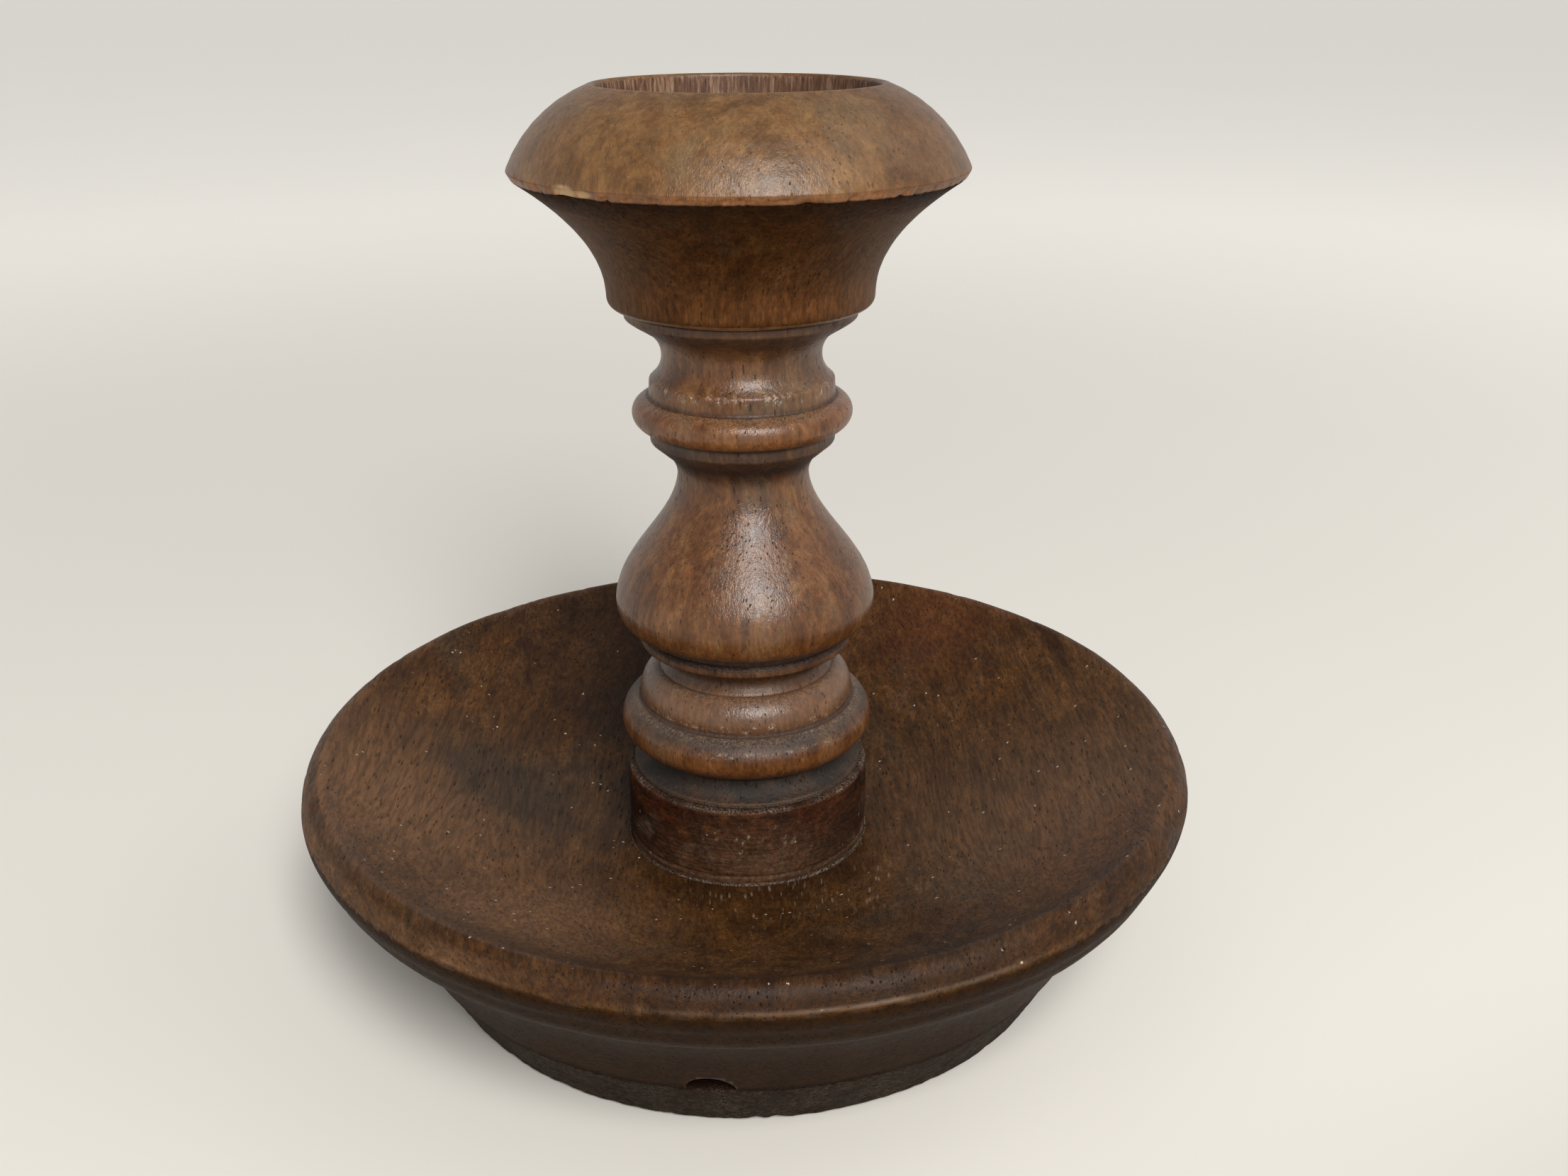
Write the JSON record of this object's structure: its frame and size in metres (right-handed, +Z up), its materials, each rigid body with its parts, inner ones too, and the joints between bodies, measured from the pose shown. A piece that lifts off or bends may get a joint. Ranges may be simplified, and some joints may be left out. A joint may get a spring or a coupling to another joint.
{
  "type": "candlestick with drip dish",
  "caption": "Turned wooden candlestick: wide candle cup on a baluster stem, standing in a deep round drip dish with a rolled lip and a foot ring.",
  "frame": {"origin": "on the table, at the centre of the foot ring", "axes": "+Z up along the turned axis, out of the candle bore; front towards -Y, the side seen in the picture"},
  "size_m": [0.203, 0.203, 0.1965],
  "materials": {
    "wood_cup": "satin varnish over brown stain",
    "wood_stem": "satin varnish over brown stain",
    "wood_hub": "satin varnish over dark red-brown stain",
    "wood_dish": "satin varnish over dark brown stain, worn along the lip",
    "wood_foot": "dull and rough, thinly stained",
    "steel": "dull plain steel"
  },
  "bodies": {
    "root": {"candle_cup": "wood_cup", "stem": "wood_stem", "hub": "wood_hub", "drip_dish": "wood_dish", "foot_ring": "wood_foot", "stem_screw": "steel", "screw_washer": "steel"}
  },
  "joints": []
}
